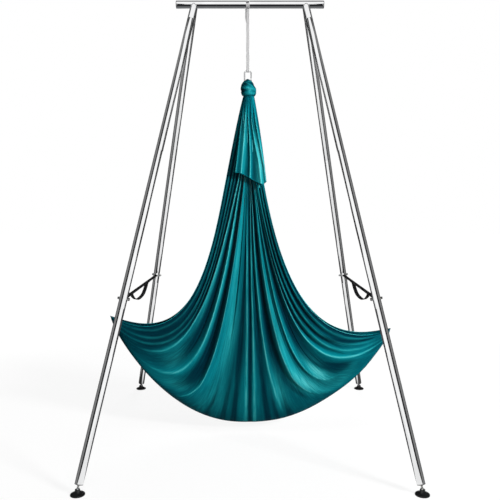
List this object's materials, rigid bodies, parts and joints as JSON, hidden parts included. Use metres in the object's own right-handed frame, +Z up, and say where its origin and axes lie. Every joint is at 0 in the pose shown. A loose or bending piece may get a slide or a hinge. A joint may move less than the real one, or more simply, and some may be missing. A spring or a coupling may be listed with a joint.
{
  "type": "aerial rig",
  "caption": "Free-standing four-legged tube stand for aerial yoga: a crossbar with a webbing sling, a carabiner and a knotted cloth hammock, side straps between the legs and swivel feet.",
  "frame": {"origin": "on the floor, at the middle of the four feet", "axes": "+Z up; +X to the right along the crossbar seen from the front; the front of the rig faces -Y"},
  "size_m": [1.967, 1.981, 2.9528],
  "materials": {
    "steel": "polished stainless tube, mirror bright along its length",
    "zinc": "bright zinc plated hardware",
    "black_plastic": "moulded, fine satin",
    "rubber": "moulded, dull satin",
    "black_webbing": "woven webbing, matt",
    "pale_webbing": "woven webbing, undyed, matt",
    "cloth": "thin smooth nylon tricot, silky, teal"
  },
  "bodies": {
    "frame": {"crossbar": "steel", "bar_cap_left": "black_plastic", "bar_cap_right": "black_plastic", "leg_lower_front_left": "steel", "leg_middle_front_left": "steel", "leg_upper_front_left": "steel", "foot_plug_front_left": "black_plastic", "foot_nut_front_left": "zinc", "strap_bolt_front_left": "zinc", "strap_nut_front_left": "zinc", "strap_bail_front_left": "zinc", "leg_lower_rear_left": "steel", "leg_middle_rear_left": "steel", "leg_upper_rear_left": "steel", "foot_plug_rear_left": "black_plastic", "foot_nut_rear_left": "zinc", "strap_bolt_rear_left": "zinc", "strap_nut_rear_left": "zinc", "strap_bail_rear_left": "zinc", "leg_lower_front_right": "steel", "leg_middle_front_right": "steel", "leg_upper_front_right": "steel", "foot_plug_front_right": "black_plastic", "foot_nut_front_right": "zinc", "strap_bolt_front_right": "zinc", "strap_nut_front_right": "zinc", "strap_bail_front_right": "zinc", "leg_lower_rear_right": "steel", "leg_middle_rear_right": "steel", "leg_upper_rear_right": "steel", "foot_plug_rear_right": "black_plastic", "foot_nut_rear_right": "zinc", "strap_bolt_rear_right": "zinc", "strap_nut_rear_right": "zinc", "strap_bail_rear_right": "zinc", "side_strap_left": "black_webbing", "strap_tail_left": "black_webbing", "strap_keeper_left": "black_plastic", "side_strap_right": "black_webbing", "strap_tail_right": "black_webbing", "strap_keeper_right": "black_plastic", "sling_wrap": "pale_webbing"},
    "sling": {"sling_strap": "pale_webbing"},
    "carabiner": {"carabiner": "steel", "gate_pin": "zinc"},
    "gate": {"carabiner_gate": "steel"},
    "hammock": {"hammock": "cloth", "hammock_knot": "cloth", "hammock_tail": "cloth"},
    "stem_front_left": {"foot_stem_front_left": "zinc"},
    "pad_front_left": {"foot_pad_front_left": "rubber"},
    "stem_rear_left": {"foot_stem_rear_left": "zinc"},
    "pad_rear_left": {"foot_pad_rear_left": "rubber"},
    "stem_front_right": {"foot_stem_front_right": "zinc"},
    "pad_front_right": {"foot_pad_front_right": "rubber"},
    "stem_rear_right": {"foot_stem_rear_right": "zinc"},
    "pad_rear_right": {"foot_pad_rear_right": "rubber"}
  },
  "joints": [
    {"name": "sling_swing", "type": "hinge", "parent": "frame", "child": "sling", "pos_m": [-0.015, 0, 2.8966], "axis": [1, 0, 0], "range_deg": [-10, 10]},
    {"name": "sling_turn", "type": "hinge", "parent": "sling", "child": "carabiner", "pos_m": [-0.015, 0, 2.4866], "axis": [0, 0, 1], "range_deg": [-5, 5], "stiffness_Nm_per_rad": 0.4},
    {"name": "hammock_side", "type": "hinge", "parent": "carabiner", "child": "hammock", "pos_m": [-0.015, 0, 2.4096], "axis": [0, 1, 0], "range_deg": [-5, 5]},
    {"name": "gate_hinge", "type": "hinge", "parent": "carabiner", "child": "gate", "pos_m": [0.007, 0, 2.43455], "axis": [0, -1, 0], "range_deg": [0, 25], "stiffness_Nm_per_rad": 0.05, "springref_deg": -11.46},
    {"name": "foot_height_front_left", "type": "slide", "parent": "frame", "child": "stem_front_left", "axis": [-0.1839, -0.3065, -0.9339], "range_m": [-0.005, 0.02]},
    {"name": "foot_tilt_front_left", "type": "hinge", "parent": "stem_front_left", "child": "pad_front_left", "pos_m": [-0.943, -0.95, 0.03], "axis": [-0.8575, 0.5145, 0], "range_deg": [-12, 12]},
    {"name": "foot_height_rear_left", "type": "slide", "parent": "frame", "child": "stem_rear_left", "axis": [-0.1839, 0.3065, -0.9339], "range_m": [-0.005, 0.02]},
    {"name": "foot_tilt_rear_left", "type": "hinge", "parent": "stem_rear_left", "child": "pad_rear_left", "pos_m": [-0.943, 0.95, 0.03], "axis": [0.8575, 0.5145, 0], "range_deg": [-12, 12]},
    {"name": "foot_height_front_right", "type": "slide", "parent": "frame", "child": "stem_front_right", "axis": [0.1839, -0.3065, -0.9339], "range_m": [-0.005, 0.02]},
    {"name": "foot_tilt_front_right", "type": "hinge", "parent": "stem_front_right", "child": "pad_front_right", "pos_m": [0.943, -0.95, 0.03], "axis": [-0.8575, -0.5145, 0], "range_deg": [-12, 12]},
    {"name": "foot_height_rear_right", "type": "slide", "parent": "frame", "child": "stem_rear_right", "axis": [0.1839, 0.3065, -0.9339], "range_m": [-0.005, 0.02]},
    {"name": "foot_tilt_rear_right", "type": "hinge", "parent": "stem_rear_right", "child": "pad_rear_right", "pos_m": [0.943, 0.95, 0.03], "axis": [0.8575, -0.5145, 0], "range_deg": [-12, 12]}
  ]
}
